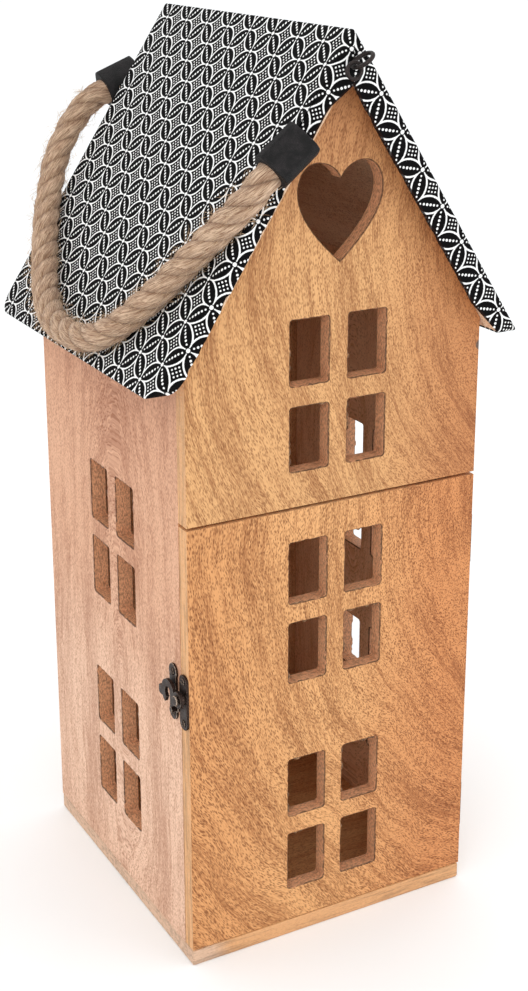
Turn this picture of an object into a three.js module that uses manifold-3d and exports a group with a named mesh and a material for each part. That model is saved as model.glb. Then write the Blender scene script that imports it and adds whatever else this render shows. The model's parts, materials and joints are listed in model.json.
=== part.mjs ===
// House-shaped wooden candle lantern with a cloth-covered gable roof, a rope handle and a hinged door.
// Millimetres, +Z up. The origin is the centre of the base's underside, the door faces -Y.
import * as THREE from 'three';
import { mergeVertices } from 'three/addons/utils/BufferGeometryUtils.js';
import Module from 'manifold-3d';

const wasm = await Module();
wasm.setup();

// Body boards
const bodyWidth = 150;
const bodyDepth = 160;
const boardThickness = 8;
const baseThickness = 8;
const wallHeight = 294.5;
const splitHeight = 219.5;
const doorTopGap = 1.5;
const doorBottomGap = 0.6;
const doorBackGap = 0.5;

// Gable roof: two mitred boards under a cloth cover that wraps their edges
const roofPitchDegrees = 57;
const roofBoardThickness = 8;
const coverThickness = 0.75;
const coverGap = 0.25;
const leftEaveOverhang = 9;
const rightEaveOverhang = 4.4;
const roofOverhang = 9;
const seatGap = 0.3;

// Window cut-outs, in groups of two by two
const windowWidth = 19.5;
const windowHeight = 29.5;
const windowBar = 9.7;
const windowCorner = 1.2;
const sideLowerShare = 0.2356;
const sideUpperShare = 0.6173;
const doorLowerShare = 0.244;
const doorUpperShare = 0.762;
const gableWindowShare = 0.267;

// Heart cut-out in the gable
const heartWidth = 42;
const heartHeight = 42.7;
const heartNotch = 7.2;
const heartTipShare = 0.57;

// Butt hinges on the right side
const hingeHeight = 24;
const hingeInset = 33;
const hingeLeaf = 1;
const hingeLeafWidth = 6.4;
const knuckleRadius = 1.5;
const knuckleGap = 0.2;
const hingePinRadius = 0.8;
const runningGap = 0.08;
const hingeScrewSpread = 7.5;
const hingeScrewHead = 1.5;

// Hook latch on the left side
const latchHeight = 137.5;
const latchPlate = 1.2;
const doorPlateLength = 26.5;
const doorPlateDrop = 2;
const doorPlateScrewSpread = 10.3;
const latchBossRadius = 3;
const latchBossHeight = 1.1;
const hookThickness = 1.6;
const hookHubRadius = 3.8;
const hookReach = 9.5;
const hookDrop = 0.5;
const hookMouthRadius = 3;
const hookBand = 3.4;
const hookTipDegrees = 60;
const thumbLength = 4.5;
const thumbWidth = 4.6;
const hookPinRadius = 1.2;
const hookPinHead = 2.4;
const postRadius = 1.3;
const postReach = 6.8;
const keeperReach = 10.5;
const keeperDrop = 1;
const keeperScrewSpread = 10;
const keeperLobeRadius = 3.7;
const keeperWaist = 6.4;
const latchScrewHead = 1.8;

// Screws
const screwShankRadius = 0.9;
const screwHeadHeight = 0.8;
const screwSlot = 0.5;
const screwHoleGap = 0.1;
const screwTipMargin = 1.2;

// Rope handle
const ropeDiameter = 11.5;
const ropeLift = 0.55;
const ropeBoreGap = 0.3;
const cuffWall = 2.4;
const cuffLength = 20;
const cuffBoreDepth = 13.3;
const frontCuffAhead = 3.3;
const frontCuffTiltDegrees = 17.6;
const backCuffAhead = -12.4;
const backCuffTiltDegrees = 35.2;
const cuffTabThickness = 1.2;
const cuffTabRadius = 2.8;
const nailRadius = 1.3;
const nailHeadRadius = 1.9;
const nailHeadHeight = 1.1;
const nailDepth = 9;
const nailFromRidge = 57;
const nailFromBoardTop = 4.5;

// Hanging ring in a screw eye at the ridge
const eyeRadius = 4.7;
const eyeWire = 0.95;
const eyeTurnDegrees = 35;
const eyeStandoff = 0.8;
const eyeShankDepth = 12;
const eyeAboveApex = 4;
const ringRadius = 3.4;
const ringWire = 0.85;

// Sizes that follow from the ones above
const halfWidth = bodyWidth / 2;
const halfDepth = bodyDepth / 2;
const innerHalf = halfWidth - boardThickness;
const wallFront = -halfDepth + boardThickness;
const backInside = halfDepth - boardThickness;
const pitch = THREE.MathUtils.degToRad(roofPitchDegrees);
const roofApex = wallHeight + halfWidth * Math.tan(pitch);
const roofTotal = roofBoardThickness + coverGap + coverThickness;
const ridgeTop = roofApex + roofTotal / Math.cos(pitch);
const roofHalfDepth = halfDepth + roofOverhang;
const coverInside = roofHalfDepth - coverThickness;
const boardHalfDepth = coverInside - coverGap;
const doorBottom = baseThickness + doorBottomGap;
const doorTop = splitHeight - doorTopGap;
const doorHeight = doorTop - doorBottom;
const doorBack = wallFront - doorBackGap;
const doorMiddle = (doorBack - halfDepth) / 2;
const sideRise = wallHeight - baseThickness;
const gableRise = roofApex - splitHeight;
const ropeRadius = ropeDiameter / 2;
const sleeveRadius = ropeRadius + ropeBoreGap + cuffWall;

// Finishes
const paleWood = new THREE.MeshStandardMaterial({ color: 0xc9a183, roughness: 0.6, metalness: 0 });
const goldenWood = new THREE.MeshStandardMaterial({ color: 0xb9793f, roughness: 0.55, metalness: 0 });
const roofWood = new THREE.MeshStandardMaterial({ color: 0xa5714c, roughness: 0.65, metalness: 0 });
const printedCloth = new THREE.MeshStandardMaterial({ color: 0x1b1a1c, roughness: 0.85, metalness: 0 });
const darkBronze = new THREE.MeshStandardMaterial({ color: 0x4a3d31, roughness: 0.45, metalness: 0.85 });
const juteRope = new THREE.MeshStandardMaterial({ color: 0xb08d62, roughness: 0.9, metalness: 0 });
const blackLeather = new THREE.MeshStandardMaterial({ color: 0x161413, roughness: 0.6, metalness: 0 });
const darkIron = new THREE.MeshStandardMaterial({ color: 0x2e2a27, roughness: 0.45, metalness: 0.85 });

const lantern = new THREE.Group();
lantern.name = 'house_lantern';

// Welded copy of a geometry, without the flat triangles at lathe poles
function weld(geometry) {
  const plain = geometry.clone();
  plain.deleteAttribute('normal');
  plain.deleteAttribute('uv');
  const merged = mergeVertices(plain, 1e-5);
  const source = merged.index.array;
  const kept = [];
  for (let i = 0; i < source.length; i += 3) {
    const [a, b, c] = [source[i], source[i + 1], source[i + 2]];
    if (a !== b && b !== c && c !== a) {
      kept.push(a, b, c);
    }
  }
  merged.setIndex(kept);
  return merged;
}

function toSolid(geometry) {
  const welded = weld(geometry);
  const mesh = new wasm.Mesh({
    numProp: 3,
    vertProperties: new Float32Array(welded.attributes.position.array),
    triVerts: new Uint32Array(welded.index.array),
  });
  return new wasm.Manifold(mesh);
}

function toGeometry(solid) {
  const mesh = solid.getMesh();
  const geometry = new THREE.BufferGeometry();
  geometry.setAttribute('position', new THREE.BufferAttribute(new Float32Array(mesh.vertProperties), 3));
  geometry.setIndex(new THREE.BufferAttribute(new Uint32Array(mesh.triVerts), 1));
  return geometry;
}

function join(...geometries) {
  const solids = geometries.map(toSolid);
  return toGeometry(solids.reduce((sum, next) => sum.add(next)));
}

function cut(geometry, ...cutters) {
  const solids = cutters.map(toSolid);
  return toGeometry(solids.reduce((rest, next) => rest.subtract(next), toSolid(geometry)));
}

function addPart(name, geometry, material) {
  const faceted = weld(geometry).toNonIndexed();
  faceted.computeVertexNormals();
  const mesh = new THREE.Mesh(faceted, material);
  mesh.name = name;
  lantern.add(mesh);
}

// A flat shape drawn in X and Z, from y0 to y1
function plateXZ(shape, y0, y1, segments = 8) {
  const geometry = new THREE.ExtrudeGeometry(shape, {
    depth: y1 - y0, bevelEnabled: false, curveSegments: segments,
  });
  return geometry.translate(0, 0, -y1).rotateX(Math.PI / 2);
}

// A flat shape drawn in Y and Z, from x0 to x1
function plateYZ(shape, x0, x1, segments = 8) {
  const geometry = new THREE.ExtrudeGeometry(shape, {
    depth: x1 - x0, bevelEnabled: false, curveSegments: segments,
  });
  const alongX = new THREE.Matrix4().makeBasis(
    new THREE.Vector3(0, 1, 0),
    new THREE.Vector3(0, 0, 1),
    new THREE.Vector3(1, 0, 0),
  );
  return geometry.applyMatrix4(alongX).translate(x0, 0, 0);
}

function polygon(points) {
  return new THREE.Shape(points.map(([u, v]) => new THREE.Vector2(u, v)));
}

function block(x0, x1, y0, y1, z0, z1) {
  const box = new THREE.BoxGeometry(x1 - x0, y1 - y0, z1 - z0);
  return box.translate((x0 + x1) / 2, (y0 + y1) / 2, (z0 + z1) / 2);
}

function rodX(radius, x0, x1, y, z, sides = 20) {
  const rod = new THREE.CylinderGeometry(radius, radius, x1 - x0, sides).rotateZ(Math.PI / 2);
  return rod.translate((x0 + x1) / 2, y, z);
}

function rodY(radius, y0, y1, x, z, sides = 20) {
  const rod = new THREE.CylinderGeometry(radius, radius, y1 - y0, sides);
  return rod.translate(x, (y0 + y1) / 2, z);
}

function rodZ(radius, z0, z1, x, y, sides = 20) {
  const rod = new THREE.CylinderGeometry(radius, radius, z1 - z0, sides).rotateX(Math.PI / 2);
  return rod.translate(x, y, (z0 + z1) / 2);
}

// Points of a rectangle with rounded corners
function roundedRectangle(u, v, width, height, corner) {
  const points = [];
  const centres = [[1, 1, 0], [-1, 1, 90], [-1, -1, 180], [1, -1, 270]];
  for (const [su, sv, start] of centres) {
    for (const step of [0, 30, 60, 90]) {
      const angle = THREE.MathUtils.degToRad(start + step);
      const cu = u + su * (width / 2 - corner) + corner * Math.cos(angle);
      const cv = v + sv * (height / 2 - corner) + corner * Math.sin(angle);
      points.push(new THREE.Vector2(cu, cv));
    }
  }
  return points;
}

// Cuts a two by two group of windows into a panel shape
function addWindows(shape, u, v) {
  const du = (windowWidth + windowBar) / 2;
  const dv = (windowHeight + windowBar) / 2;
  for (const su of [-1, 1]) {
    for (const sv of [-1, 1]) {
      const hole = roundedRectangle(u + su * du, v + sv * dv, windowWidth, windowHeight, windowCorner);
      shape.holes.push(new THREE.Path(hole));
    }
  }
}

function heartPath(tip) {
  const w = heartWidth / 2;
  const top = tip + heartHeight;
  const side = tip + heartHeight * 0.72;
  const path = new THREE.Path();
  path.moveTo(0, tip);
  path.bezierCurveTo(w * 0.34, tip + heartHeight * 0.15, w, tip + heartHeight * 0.44, w, side);
  path.bezierCurveTo(w, tip + heartHeight * 0.89, w * 0.8, top, w * 0.56, top);
  path.bezierCurveTo(w * 0.31, top, w * 0.09, top - heartNotch * 0.4, 0, top - heartNotch);
  path.bezierCurveTo(-w * 0.09, top - heartNotch * 0.4, -w * 0.31, top, -w * 0.56, top);
  path.bezierCurveTo(-w * 0.8, top, -w, tip + heartHeight * 0.89, -w, side);
  path.bezierCurveTo(-w, tip + heartHeight * 0.44, -w * 0.34, tip + heartHeight * 0.15, 0, tip);
  return path;
}

// Slotted screw whose head rests on the plane x = face, with its shank going to the given side
function screwX(face, inward, y, z, headRadius) {
  const length = boardThickness - screwTipMargin;
  const profile = [
    [0, -length], [screwShankRadius * 0.4, -length], [screwShankRadius, -length + 1.2], [screwShankRadius, 0],
    [headRadius, 0], [headRadius, screwHeadHeight * 0.45], [headRadius * 0.7, screwHeadHeight * 0.9],
    [0, screwHeadHeight],
  ];
  const lathe = new THREE.LatheGeometry(profile.map(([r, h]) => new THREE.Vector2(r, h)), 12);
  const slot = block(-headRadius * 1.2, headRadius * 1.2, screwHeadHeight * 0.5, screwHeadHeight * 2,
    -screwSlot / 2, screwSlot / 2);
  const screw = cut(lathe, slot);
  return screw.rotateZ(inward > 0 ? Math.PI / 2 : -Math.PI / 2).translate(face, y, z);
}

function screwHoleX(x0, x1, y, z) {
  return rodX(screwShankRadius + screwHoleGap, x0, x1, y, z, 16);
}

// A place on the left slope: distance down from the ridge, height above the cloth, and y
function onSlope(down, lift, y) {
  const x = -down * Math.cos(pitch) - lift * Math.sin(pitch);
  const z = ridgeTop - down * Math.sin(pitch) + lift * Math.cos(pitch);
  return new THREE.Vector3(x, y, z);
}

// Base, walls and back
addPart('base_board', block(-halfWidth, halfWidth, -halfDepth, halfDepth, 0, baseThickness), paleWood);

const roofLineCut = roofApex - seatGap / Math.cos(pitch);
const skyReach = roofApex + bodyWidth;
const aboveRoofLine = plateXZ(polygon([
  [0, roofLineCut],
  [bodyWidth, roofLineCut - bodyWidth * Math.tan(pitch)],
  [bodyWidth, skyReach],
  [-bodyWidth, skyReach],
  [-bodyWidth, roofLineCut - bodyWidth * Math.tan(pitch)],
]), -bodyDepth, bodyDepth);

function sideWall(x0, x1) {
  const top = wallHeight + boardThickness * Math.tan(pitch) + 1;
  const outline = polygon([
    [wallFront, baseThickness], [halfDepth, baseThickness], [halfDepth, top], [wallFront, top],
  ]);
  addWindows(outline, 0, baseThickness + sideLowerShare * sideRise);
  addWindows(outline, 0, baseThickness + sideUpperShare * sideRise);
  return cut(plateYZ(outline, x0, x1), aboveRoofLine);
}

function gabledPanel(half, bottom) {
  const shoulder = roofLineCut - half * Math.tan(pitch);
  return polygon([[-half, bottom], [half, bottom], [half, shoulder], [0, roofLineCut], [-half, shoulder]]);
}

addPart('back_panel', plateXZ(gabledPanel(innerHalf, baseThickness), backInside, halfDepth), paleWood);

const gableShape = gabledPanel(halfWidth, splitHeight);
addWindows(gableShape, 0, splitHeight + gableWindowShare * gableRise);
gableShape.holes.push(heartPath(splitHeight + heartTipShare * gableRise));
addPart('front_gable_panel', plateXZ(gableShape, -halfDepth, wallFront, 10), goldenWood);

const doorShape = polygon([
  [-halfWidth, doorBottom], [halfWidth, doorBottom], [halfWidth, doorTop], [-halfWidth, doorTop],
]);
addWindows(doorShape, 0, doorBottom + doorLowerShare * doorHeight);
addWindows(doorShape, 0, doorBottom + doorUpperShare * doorHeight);
const doorBlank = plateXZ(doorShape, -halfDepth, doorBack);

// Hinges: three knuckles each, the middle one on the door
const hingeX = halfWidth + knuckleRadius + knuckleGap;
const hingeY = (wallFront + doorBack) / 2;
const leafFace = halfWidth + hingeLeaf;
const wallLeafEnd = wallFront + hingeLeafWidth;
const doorLeafEnd = doorBack - hingeLeafWidth;
const wallLeafScrewY = wallFront + hingeLeafWidth * 0.58;
const doorLeafScrewY = doorBack - hingeLeafWidth * 0.58;
const hinges = [
  { name: 'lower', z: doorBottom + hingeInset },
  { name: 'upper', z: doorTop - hingeInset },
];
const rightWallCuts = [];
const doorCuts = [];
for (const hinge of hinges) {
  const low = hinge.z - hingeHeight / 2;
  const high = hinge.z + hingeHeight / 2;
  const third = hingeHeight / 3;
  const bore = rodZ(hingePinRadius + runningGap, low - 1, high + 1, hingeX, hingeY, 24);
  const clear = knuckleRadius + knuckleGap;
  const lowRoom = rodZ(clear, low - 1, low + third + knuckleGap / 2, hingeX, hingeY, 24);
  const midRoom = rodZ(clear, low + third - knuckleGap / 2, high - third + knuckleGap / 2,
    hingeX, hingeY, 24);
  const highRoom = rodZ(clear, high - third - knuckleGap / 2, high + 1, hingeX, hingeY, 24);
  const lowKnuckle = rodZ(knuckleRadius, low, low + third - knuckleGap / 2, hingeX, hingeY, 24);
  const midKnuckle = rodZ(knuckleRadius, low + third + knuckleGap / 2, high - third - knuckleGap / 2,
    hingeX, hingeY, 24);
  const highKnuckle = rodZ(knuckleRadius, high - third + knuckleGap / 2, high, hingeX, hingeY, 24);
  const screwZ = [hinge.z - hingeScrewSpread, hinge.z + hingeScrewSpread];

  const wallPlate = block(halfWidth, leafFace, hingeY + knuckleGap, wallLeafEnd, low, high);
  const wallHoles = screwZ.map((z) => screwHoleX(innerHalf, leafFace + 1, wallLeafScrewY, z));
  const wallLeaf = cut(join(cut(wallPlate, midRoom), lowKnuckle, highKnuckle), bore, ...wallHoles);
  addPart(`hinge_${hinge.name}_wall_leaf`, wallLeaf, darkBronze);

  const doorPlate = block(halfWidth, leafFace, doorLeafEnd, hingeY - knuckleGap, low, high);
  const doorHoles = screwZ.map((z) => screwHoleX(innerHalf, leafFace + 1, doorLeafScrewY, z));
  const doorLeaf = cut(join(cut(doorPlate, lowRoom, highRoom), midKnuckle), bore, ...doorHoles);
  addPart(`hinge_${hinge.name}_door_leaf`, doorLeaf, darkBronze);

  const pin = rodZ(hingePinRadius, low, high, hingeX, hingeY, 24);
  const pinHead = rodZ(knuckleRadius * 0.9, high + knuckleGap, high + 1.2, hingeX, hingeY, 24);
  const pinNeck = rodZ(hingePinRadius, high - 1, high + 1, hingeX, hingeY, 24);
  addPart(`hinge_${hinge.name}_pin`, join(pin, pinNeck, pinHead), darkBronze);

  screwZ.forEach((z, i) => {
    const place = i === 0 ? 'low' : 'high';
    const wallScrew = screwX(leafFace, -1, wallLeafScrewY, z, hingeScrewHead);
    const doorScrew = screwX(leafFace, -1, doorLeafScrewY, z, hingeScrewHead);
    addPart(`hinge_${hinge.name}_wall_screw_${place}`, wallScrew, darkBronze);
    addPart(`hinge_${hinge.name}_door_screw_${place}`, doorScrew, darkBronze);
  });
  rightWallCuts.push(...wallHoles);
  doorCuts.push(...doorHoles);
}

// Hook latch: door plate with a boss, turning hook on a headed pin, keeper with a low post
const latchFace = -halfWidth - latchPlate;
const bossFace = latchFace - latchBossHeight;
const hookInside = bossFace - seatGap;
const hookOutside = hookInside - hookThickness;
const pinSeat = hookOutside - seatGap;
const pivotY = doorMiddle;
const doorPlateWidth = halfDepth + doorBack - knuckleGap * 2;
const doorPlateZ = latchHeight - doorPlateDrop;
const doorScrewZ = [doorPlateZ - doorPlateScrewSpread, doorPlateZ + doorPlateScrewSpread];
const doorScrewHoles = doorScrewZ.map((z) => screwHoleX(latchFace - 1, -innerHalf, pivotY, z));
const hookPinHole = rodX(hookPinRadius + runningGap, hookOutside - 1, -halfWidth + 1,
  pivotY, latchHeight, 24);
const doorPlateOutline = new THREE.Shape(roundedRectangle(
  pivotY, doorPlateZ, doorPlateWidth, doorPlateLength, doorPlateWidth * 0.42,
));
const latchBoss = rodX(latchBossRadius, bossFace, latchFace + latchPlate / 2, pivotY, latchHeight, 28);
const latchDoorPlate = cut(
  join(plateYZ(doorPlateOutline, latchFace, -halfWidth), latchBoss),
  hookPinHole,
  ...doorScrewHoles,
);
addPart('latch_door_plate', latchDoorPlate, darkBronze);

// The hook: a hub, an open C around the mouth, and a thumb tab
const hookOuter = hookMouthRadius + hookBand;
const mouthY = pivotY + hookReach;
const mouthZ = latchHeight - hookDrop;
const tipAngle = -THREE.MathUtils.degToRad(hookTipDegrees);
const rootAngle = THREE.MathUtils.degToRad(200);
const curl = new THREE.Shape();
curl.absarc(mouthY, mouthZ, hookOuter, tipAngle, rootAngle, false);
curl.absarc(mouthY, mouthZ, hookMouthRadius, rootAngle, tipAngle, true);
const hub = rodX(hookHubRadius, hookOutside, hookInside, pivotY, latchHeight, 32);
const thumbY = mouthY + hookOuter - hookBand / 2;
const thumb = new THREE.Shape(roundedRectangle(
  thumbY + thumbLength / 2, mouthZ - thumbWidth * 0.3, thumbLength, thumbWidth, thumbWidth * 0.3,
));
const hookBody = join(
  hub,
  plateYZ(curl, hookOutside, hookInside, 18),
  plateYZ(thumb, hookOutside, hookInside),
);
addPart('latch_hook', cut(hookBody, hookPinHole), darkBronze);

const hookPin = join(
  rodX(hookPinRadius, pinSeat - nailHeadHeight / 2, -halfWidth, pivotY, latchHeight, 24),
  rodX(hookPinHead, pinSeat - nailHeadHeight, pinSeat, pivotY, latchHeight, 24),
);
addPart('latch_hook_pin', hookPin, darkBronze);
addPart('latch_door_screw_low', screwX(latchFace, 1, pivotY, doorScrewZ[0], latchScrewHead), darkBronze);
addPart('latch_door_screw_high', screwX(latchFace, 1, pivotY, doorScrewZ[1], latchScrewHead), darkBronze);
doorCuts.push(...doorScrewHoles);
addPart('door_panel', cut(doorBlank, ...doorCuts), goldenWood);

const keeperY = pivotY + keeperReach;
const keeperZ = latchHeight - keeperDrop;
const keeperScrewZ = [keeperZ - keeperScrewSpread, keeperZ + keeperScrewSpread];
const keeperHoles = keeperScrewZ.map((z) => screwHoleX(latchFace - 1, -innerHalf, keeperY, z));
const keeperLobes = keeperScrewZ.map((z) => rodX(keeperLobeRadius, latchFace, -halfWidth, keeperY, z, 28));
const keeperWaistPlate = block(latchFace, -halfWidth, keeperY - keeperWaist / 2, keeperY + keeperWaist / 2,
  keeperScrewZ[0], keeperScrewZ[1]);
const postY = pivotY + postReach;
const postZ = mouthZ - hookOuter * Math.sin(-tipAngle) - seatGap * 1.4 - postRadius;
const post = rodX(postRadius, hookOutside, latchFace + latchPlate / 2, postY, postZ, 20);
const postFoot = rodX(postRadius * 1.5, latchFace, -halfWidth, postY, postZ, 20);
const keeper = join(...keeperLobes, keeperWaistPlate, postFoot, post);
addPart('latch_keeper', cut(keeper, ...keeperHoles), darkBronze);
['low', 'high'].forEach((place, i) => {
  const screw = screwX(latchFace, 1, keeperY, keeperScrewZ[i], latchScrewHead);
  addPart(`latch_keeper_screw_${place}`, screw, darkBronze);
});

addPart('left_wall', cut(sideWall(-halfWidth, -innerHalf), ...keeperHoles), paleWood);
addPart('right_wall', cut(sideWall(innerHalf, halfWidth), ...rightWallCuts), paleWood);

// Roof boards, mitred at the ridge, with level eaves: the left slope is the longer one
function eaveReach(side) {
  return halfWidth + (side < 0 ? leftEaveOverhang : rightEaveOverhang);
}

function eaveHeight(side) {
  return roofApex - eaveReach(side) * Math.tan(pitch);
}

function roofBoard(side) {
  const top = roofApex + roofBoardThickness / Math.cos(pitch);
  const eave = eaveHeight(side) + coverThickness + coverGap;
  const outer = side * (top - eave) / Math.tan(pitch);
  const inner = side * (roofApex - eave) / Math.tan(pitch);
  const outline = [[0, top], [outer, eave], [inner, eave], [0, roofApex]];
  return plateXZ(polygon(outline), -boardHalfDepth, boardHalfDepth);
}

// Cuffs: leather sleeves round the rope ends, with a tab that turns on a nail in the roof's edge
const nailBelowCloth = nailFromBoardTop + coverGap + coverThickness;
const cuffFace = roofHalfDepth + seatGap;
const cuffAxisY = cuffFace + sleeveRadius;
const tabFace = cuffFace + cuffTabThickness;
const nailPoint = onSlope(nailFromRidge, -nailBelowCloth, 0);
const headReach = cuffTabThickness + seatGap + nailHeadHeight;
const sleeveAtHead = Math.sqrt(headReach * (sleeveRadius * 2 - headReach));
const nailClearance = sleeveAtHead + nailHeadRadius + seatGap;

// A sleeve's centre and direction: it clears the nail's head by the seat gap
function cuffPose(ahead, tiltDegrees) {
  const tilt = THREE.MathUtils.degToRad(tiltDegrees);
  const rise = (nailClearance + ahead * Math.sin(tilt)) / Math.cos(tilt);
  const centre = onSlope(nailFromRidge + ahead, rise - nailBelowCloth, 0);
  const axis = new THREE.Vector3(-Math.cos(pitch - tilt), 0, -Math.sin(pitch - tilt));
  return { centre, axis };
}

const frontCuff = cuffPose(frontCuffAhead, frontCuffTiltDegrees);
const backCuff = cuffPose(backCuffAhead, backCuffTiltDegrees);

function cuffAt(end) {
  return end < 0 ? frontCuff : backCuff;
}

function cuffPoint(along, end) {
  const { centre, axis } = cuffAt(end);
  return centre.clone().addScaledVector(axis, along).setY(end * cuffAxisY);
}

function alongCuff(geometry, from, to, end) {
  const turn = new THREE.Quaternion().setFromUnitVectors(new THREE.Vector3(0, 1, 0), cuffAt(end).axis);
  const middle = cuffPoint((from + to) / 2, end);
  return geometry.applyQuaternion(turn).translate(middle.x, middle.y, middle.z);
}

function cuff(end) {
  const half = cuffLength / 2;
  const round = 0.8;
  const profile = [
    [0, -half], [sleeveRadius - round, -half], [sleeveRadius - round * 0.3, -half + round * 0.3],
    [sleeveRadius, -half + round], [sleeveRadius, half - round * 0.5], [sleeveRadius - round * 0.5, half],
    [0, half],
  ];
  const lathe = new THREE.LatheGeometry(profile.map(([r, h]) => new THREE.Vector2(r, h)), 24);
  const sleeve = alongCuff(lathe, -half, half, end);
  const near = Math.min(end * cuffFace, end * tabFace);
  const far = Math.max(end * cuffFace, end * tabFace);
  const tabDisc = rodY(cuffTabRadius, near, far, nailPoint.x, nailPoint.z, 28);
  const { centre } = cuffAt(end);
  const reach = new THREE.Vector3().subVectors(centre, nailPoint);
  const span = Math.hypot(reach.x, reach.z);
  const tabBar = new THREE.BoxGeometry(span, far - near, cuffTabRadius * 2);
  tabBar.rotateY(-Math.atan2(reach.z, reach.x));
  tabBar.translate((nailPoint.x + centre.x) / 2, (near + far) / 2, (nailPoint.z + centre.z) / 2);
  const boreRod = new THREE.CylinderGeometry(
    ropeRadius + ropeBoreGap, ropeRadius + ropeBoreGap, cuffBoreDepth + 2, 28,
  );
  const bore = alongCuff(boreRod, half - cuffBoreDepth, half + 2, end);
  const nailHole = rodY(nailRadius + runningGap, near - 1, far + 1, nailPoint.x, nailPoint.z, 24);
  return cut(join(sleeve, tabDisc, tabBar), bore, nailHole);
}

function nail(end) {
  const inside = boardHalfDepth - nailDepth;
  const headSeat = tabFace + seatGap;
  const shank = end < 0
    ? rodY(nailRadius, -headSeat - nailHeadHeight / 2, -inside, nailPoint.x, nailPoint.z, 24)
    : rodY(nailRadius, inside, headSeat + nailHeadHeight / 2, nailPoint.x, nailPoint.z, 24);
  const head = end < 0
    ? rodY(nailHeadRadius, -headSeat - nailHeadHeight, -headSeat, nailPoint.x, nailPoint.z, 24)
    : rodY(nailHeadRadius, headSeat, headSeat + nailHeadHeight, nailPoint.x, nailPoint.z, 24);
  return join(shank, head);
}

const nailHoles = [-1, 1].map((end) => {
  const inside = boardHalfDepth - nailDepth - seatGap;
  const y0 = end < 0 ? -cuffFace : inside;
  const y1 = end < 0 ? -inside : cuffFace;
  return rodY(nailRadius + screwHoleGap, y0, y1, nailPoint.x, nailPoint.z, 24);
});

// Screw eye at the front of the ridge, and the ring that hangs from its lower side
const eyeTurn = THREE.MathUtils.degToRad(eyeTurnDegrees);
const eyeZ = roofApex + eyeAboveApex;
const eyeCentreY = -roofHalfDepth - eyeStandoff - eyeWire - eyeRadius;
const eyeShankEnd = -boardHalfDepth + eyeShankDepth;
const eyeLoop = new THREE.TorusGeometry(eyeRadius, eyeWire, 10, 32).rotateY(-eyeTurn);
eyeLoop.translate(0, eyeCentreY, eyeZ);
const eyeShank = rodY(eyeWire, eyeCentreY + eyeRadius, eyeShankEnd, 0, eyeZ, 16);
addPart('hanger_eye', join(eyeLoop, eyeShank), darkIron);
const eyeHole = rodY(eyeWire + screwHoleGap, -roofHalfDepth - 1, eyeShankEnd + seatGap, 0, eyeZ, 16);

const ringHangX = -eyeRadius * Math.cos(eyeTurn);
const ringHangZ = eyeZ - eyeRadius * Math.sin(eyeTurn);
const ringDrop = ringRadius - ringWire - eyeWire - seatGap;
const ring = new THREE.TorusGeometry(ringRadius, ringWire, 10, 28).rotateX(Math.PI / 2);
addPart('hanger_ring', ring.translate(ringHangX, eyeCentreY, ringHangZ - ringDrop), darkIron);

addPart('roof_board_left', cut(roofBoard(-1), eyeHole, ...nailHoles), roofWood);
addPart('roof_board_right', cut(roofBoard(1), eyeHole), roofWood);

// Cloth cover: over both slopes, round the eaves and round the front and back edges
const coverUnderTop = ridgeTop - coverThickness / Math.cos(pitch);
const coverUnderOpen = coverThickness + boardThickness;

// The two eave corners of a section that is open by the given amount on its underside
function eaveCorners(side, top, lift, open) {
  const z = eaveHeight(side) + lift;
  return [[side * (top - z) / Math.tan(pitch), z], [side * (eaveReach(side) - open), z]];
}

function coverSection(top, lift, open) {
  const under = roofApex + lift - open * Math.tan(pitch);
  const left = eaveCorners(-1, top, lift, open);
  const right = eaveCorners(1, top, lift, open);
  return polygon([[0, top], ...left, [0, under], ...right.reverse()]);
}

const coverBlank = plateXZ(coverSection(ridgeTop, 0, 0), -roofHalfDepth, roofHalfDepth);
const coverHollow = coverSection(coverUnderTop, coverThickness, coverUnderOpen);
const coverRoom = plateXZ(coverHollow, -coverInside, coverInside);
addPart('roof_cover', cut(coverBlank, coverRoom, eyeHole, ...nailHoles), printedCloth);

// Rope: from the front cuff over the left slope to the back cuff
// Each row gives the distance in from the roof's end face, the distance down the slope and the extra height.
const frontRoute = [
  [-7.2, 77, 1.6], [-3.2, 84, 1.2], [1.8, 91, 0.6], [6.9, 98, 0.2], [13.7, 108.7, 0], [20.6, 119.5, 0],
  [27.6, 130.6, 0], [35.6, 141.1, 0], [44.6, 151.4, 0], [56, 159.6, 0], [68, 164, 0], [82.5, 165.4, 0],
];
const backRoute = [
  [-8.6, 60, 0], [-8.3, 68, 2.2], [-8, 78, 3], [-7, 88, 2.9], [-4.6, 98, 2], [0, 107.5, 0.6],
  [9, 119.5, 0], [21.4, 131, 0], [34.6, 141.8, 0], [48.2, 151.9, 0], [61.6, 159.4, 0], [76.5, 164.3, 0],
];
const ropeHeight = ropeRadius + ropeLift;
const cuffMouth = cuffLength / 2;
const ropeStart = cuffMouth - cuffBoreDepth + ropeBoreGap;
const cuffStations = [ropeStart, ropeStart + 5, cuffMouth - 1.5, cuffMouth + 2];
function ropePlace([inset, down, extra], end) {
  return onSlope(down, ropeHeight + extra, end * (roofHalfDepth - inset));
}

const ropePoints = [
  ...cuffStations.map((along) => cuffPoint(along, -1)),
  ...frontRoute.map((row) => ropePlace(row, -1)),
  ...backRoute.map((row) => ropePlace(row, 1)).reverse(),
  ...cuffStations.map((along) => cuffPoint(along, 1)).reverse(),
];
const ropeCurve = new THREE.CatmullRomCurve3(ropePoints, false, 'centripetal');
const ropeSection = new THREE.Shape();
ropeSection.absarc(0, 0, ropeRadius, 0, Math.PI * 2, false);
const rope = new THREE.ExtrudeGeometry(ropeSection, { steps: 64, extrudePath: ropeCurve, curveSegments: 6 });
addPart('handle_rope', rope, juteRope);
addPart('handle_cuff_front', cuff(-1), blackLeather);
addPart('handle_cuff_back', cuff(1), blackLeather);
addPart('cuff_nail_front', nail(-1), darkIron);
addPart('cuff_nail_back', nail(1), darkIron);

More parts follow.
